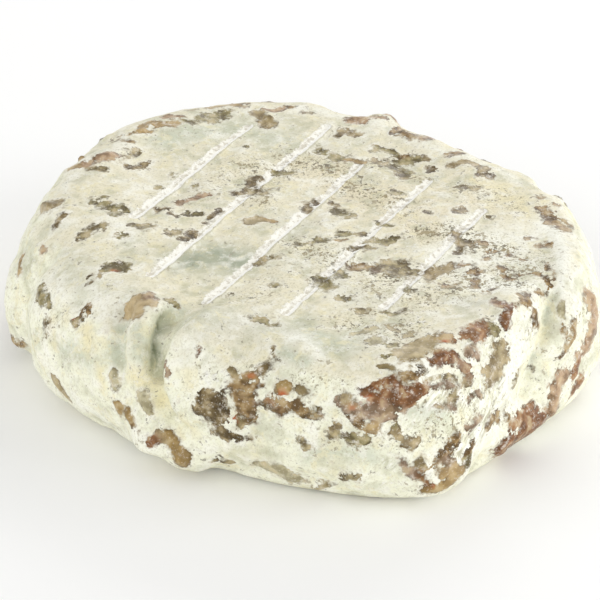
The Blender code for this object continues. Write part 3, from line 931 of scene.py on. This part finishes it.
def readFields():   # what the mesh carries, and the patterns that several layers share
    names = ("bare", "specks", "hollow", "breakUp", "groove", "across", "strands", "clean")
    rind = SimpleNamespace(**{name: attribute(name) for name in names})
    rind.place = Wire.node("ShaderNodeTexCoord", {}, {}, 3)
    rind.coarse = (grainOf(rind.place, "coarse") - 0.5) * rindLook["coarseRagged"] * rind.breakUp
    rind.fine = (grainOf(rind.place, "fine") - 0.5) * rindLook["fineRagged"] * rind.breakUp
    shrunk = rind.bare + rindLook["spread"] - rind.breakUp * rindLook["shrink"]
    rind.frayed = shrunk + rind.coarse + rind.fine
    rind.crumbs = grainOf(rind.place, "crumbs") - 0.5
    rind.fluff = grainOf(rind.place, "fluff")
    rind.depth = grainOf(rind.place, "depth")
    gaps = (grainOf(rind.place, "markGaps") - 0.5) * 1.6
    rind.mark = stepUp(rind.groove + rind.crumbs * 2.4 + gaps, 0.35, 0.8)
    slant = {
        "Vector": rind.place,
        "Rotation": rindLook["strandSlant"],
        "Scale": (1, 1, rindLook["strandLength"]),
    }
    slanted = Wire.node("ShaderNodeMapping", {"vector_type": "TEXTURE"}, slant)
    rind.strand = grainOf(slanted, "strands")
    rind.strandMask = stepUp(rind.strands, 0.1, 0.7)
    return rind


def addBareMasks(rind):   # the bare patches, and small flecks and dots that gather near them
    place = rind.place
    ragged = stepUp(grainOf(place, "softEdges"), 0.42, 0.62) * rind.breakUp * 0.8
    rind.bareMask = stepUp(rind.frayed / (ragged + rindLook["edgeWidth"]), -1, 1)
    nearBare = stepUp(rind.bare + rind.coarse, -2.4, 0.0)
    crowd = rind.specks * 1.6 + nearBare * 0.3 + (grainOf(place, "crowd") - 0.5) * 2.6
    small = stepUp(grainOf(place, "smallFlecks") + crowd * 0.088 - 0.68, 0, 0.02)
    large = stepUp(grainOf(place, "largeFlecks") + crowd * 0.08 - 0.70, 0, 0.02)
    rind.fleck = small.greater(large)
    rind.dot = stepUp(grainOf(place, "dots") + crowd * 0.11 - 0.775, 0, 0.04)


def coatColour(rind):   # mould coat: zones, clouds, yellow stains, fine powder, painted shade that greys the hollows and the dips of the fluff, and painted light on the crests of the lumps
    place = rind.place
    clouds = 1 - rind.clean * 0.8
    coat = attribute("coatTint", 0)
    coat = stained(coat, "cloud", stepUp(grainOf(place, "clouds"), 0.5, 0.66) * clouds)
    coat = stained(coat, "yellowCloud", stepUp(grainOf(place, "yellowClouds"), 0.52, 0.64) * clouds)
    # Painted shade in the hollows between the lumps, and painted light on their crests
    coat = stained(coat, "hollow", stepUp(rind.hollow, 0.1, 0.9))
    coat = stained(coat, "crestLight", stepUp(rind.hollow, -0.1, -0.9))
    coat = stained(coat, "frost", stepUp(grainOf(place, "frost"), 0.52, 0.6) * (rind.specks * 0.3 + 0.35))
    coat = stained(coat, "fluffShade", stepUp(rind.fluff, 0.5, 0.32) * (rind.specks * 0.5 + 0.25))
    coat = stained(coat, "grit", stepUp(grainOf(place, "grit"), 0.52, 0.64) * (rind.specks + 0.12))
    halo = stepUp(rind.bare + rind.coarse, -2.2, -0.3) * (1 - rind.specks * 0.5)
    coat = stained(coat, "halo", halo)
    coat = stained(coat, "haze", stepUp(rind.frayed, -1.5, 0.0) * stepUp(grainOf(place, "haze"), 0.47, 0.6))
    coat = stained(coat, "strand", stepUp(rind.strand, 0.5, 0.62) * rind.strandMask)
    return stained(coat, "strandGap", stepUp(rind.strand, 0.46, 0.36) * rind.strandMask)


def markColour(rind, coat):   # rack marks: pressed white, worn in places and grey in patches along the middle, with painted light along one side and a painted shadow line beyond it
    place = rind.place
    worn = stepUp(rind.groove + rind.crumbs * 1.6, 1.3, 1.7) * stepUp(grainOf(place, "wear"), 0.5, 0.62)
    coat = stained(coat, "mark", rind.mark)
    coat = stained(coat, "wornMark", worn)
    across = rind.across + rind.crumbs * 1.2
    middle = stepUp(across, -1.3, -0.5) * stepUp(across, 0.7, 0.2)
    # Grey in patches along the middle of the mark
    coat = stained(coat, "markMiddleGrey", middle * stepUp(grainOf(place, "middleGrain"), 0.46, 0.6) * rind.mark)
    brightSide = stepUp(across, 0.35, 0.6) * stepUp(across, 1.3, 1.1)
    coat = stained(coat, "brightLine", brightSide * stepUp(rind.groove, 0.2, 0.5))
    return stained(coat, "markShade", stepUp(across, 1.2, 1.4) * stepUp(rind.groove, 0.0, 0.15))


def bareColour(rind):   # bare rind: darker rims, partly painted shadow at the patch edges; painted highlight where the depth grain runs high; darker blotches where it runs low; and mould dust like powder
    place = rind.place
    crumbling = stepUp(rind.breakUp, 0.2, 0.9)
    colour = attribute("bareTint", 0)
    # Darker where the depth grain runs low, as the bump does
    colour = stained(colour, "deepRind", stepUp(rind.depth, 0.56, 0.38) * rind.breakUp, "MULTIPLY")
    # Painted highlight where the depth grain, which also raises the bump, runs high
    colour = stained(colour, "rindHighlight", stepUp(rind.depth, 0.52, 0.70) * (crumbling * 0.3 + 0.2))
    # Darker rims along the patch edges, partly painted shadow
    rim = stepUp(rind.frayed, 0.9, 0.1) * stepUp(rind.depth, 0.56, 0.42)
    colour = stained(colour, "darkRim", rim, "MULTIPLY")
    powder = stepUp(grainOf(place, "powder"), 0.5, 0.7) * stepUp(grainOf(place, "powderAreas"), 0.42, 0.62)
    fineDust = stepUp(grainOf(place, "fineDust"), 0.57, 0.64) * 0.5
    rind.dust = (powder * 0.85).greater(fineDust) * (crumbling * 0.75 + 0.25)
    return stained(colour, "dust", rind.dust)


def makeRind():
    material = bpy.data.materials.new("mouldyRind")
    material.use_nodes = True
    Wire.tree = material.node_tree
    rind = readFields()
    addBareMasks(rind)
    coat = markColour(rind, coatColour(rind))
    bare = bareColour(rind)

    dark, pale = solid(fleckColours["dark"]), solid(fleckColours["pale"])
    fleckColour = blendColour(stepUp(grainOf(rind.place, "fleckTints"), 0.38, 0.6), dark, pale)
    flecks = rind.fleck.greater(rind.dot * 0.8) * (1 - rind.mark * 0.6)
    colour = blendColour(flecks * (rind.specks * 0.45 + 0.5), coat, fleckColour)
    colour = blendColour(rind.bareMask, colour, bare)
    allBare = rind.bareMask.greater(rind.fleck * 0.7)

    tooth = (grainOf(rind.place, "tooth") - 0.5) * 0.35 * (1 - rind.bareMask)
    height = (1 - allBare) * 0.9 + rind.fluff * 0.8 + tooth + rind.depth * 0.8
    height = height + rind.mark * (rind.crumbs + 0.4)
    height = height + stepUp(rind.strand, 0.4, 0.65) * rind.strandMask * 0.8
    relief = {"Strength": rindLook["bumpStrength"], "Distance": rindLook["coatStep"], "Height": height}
    bump = Wire.node("ShaderNodeBump", {}, relief)
    gloss = allBare * (rindLook["coatRoughness"] - rindLook["bareRoughness"])
    roughness = rindLook["coatRoughness"] - gloss + rind.dust * allBare * rindLook["dustRoughness"]

    shader = material.node_tree.nodes["Principled BSDF"]
    links = material.node_tree.links
    links.new(colour.socket, shader.inputs["Base Color"])
    links.new(roughness.socket, shader.inputs["Roughness"])
    links.new(bump.socket, shader.inputs["Normal"])
    shader.inputs["Specular IOR Level"].default_value = rindLook["specular"]
    return material


wheel.data.materials.append(makeRind())
wheel.data.shade_smooth()
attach(wheel, "root")
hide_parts("cheese_wheel")
print("rind painted")


# Stage: pale floor, a broad soft light from the front, fill from both sides
studio = {
    "floorSize": 12,
    "floorColour": paint(251, 251, 250),
    "worldColour": paint(250, 250, 250),
    "worldStrength": 0.66,
    "aim": (0, 0, 0.02),
}
# Each light's power, size and place
studioLights = {
    "frontLight": (7.0, 1.1, (-0.35, -1.5, 0.8)),
    "leftLight": (3.9, 0.9, (-1.4, -0.2, 0.7)),
    "rightLight": (11.8, 0.9, (1.5, -0.3, 0.45)),
    "backLight": (8.0, 0.9, (0.5, 1.3, 0.7)),
}


def addFloor():
    deselectAll()
    bpy.ops.mesh.primitive_plane_add(size=studio["floorSize"], location=(0, 0, -0.05 * mm))
    floor = bpy.context.object
    floor.name = "paleFloor"
    material = bpy.data.materials.new("paleFloor")
    material.use_nodes = True
    shader = material.node_tree.nodes["Principled BSDF"]
    shader.inputs["Base Color"].default_value = solid(studio["floorColour"])
    shader.inputs["Roughness"].default_value = 0.9
    floor.data.materials.append(material)


def addLight(name, power, size, location):
    bpy.ops.object.light_add(type="AREA", location=location)
    light = bpy.context.object
    light.name = name
    light.data.energy = power
    light.data.size = size
    aim = Vector(studio["aim"]) - Vector(location)
    light.rotation_euler = aim.to_track_quat("-Z", "Y").to_euler()


def addWorld():
    world = bpy.data.worlds.new("studioAir")
    world.use_nodes = True
    background = world.node_tree.nodes["Background"]
    background.inputs["Color"].default_value = solid(studio["worldColour"])
    background.inputs["Strength"].default_value = studio["worldStrength"]
    bpy.context.scene.world = world


addFloor()
for lightName, (power, size, location) in studioLights.items():
    addLight(lightName, power, size, location)
addWorld()
bpy.context.scene.view_settings.view_transform = "Standard"
print("studio set")
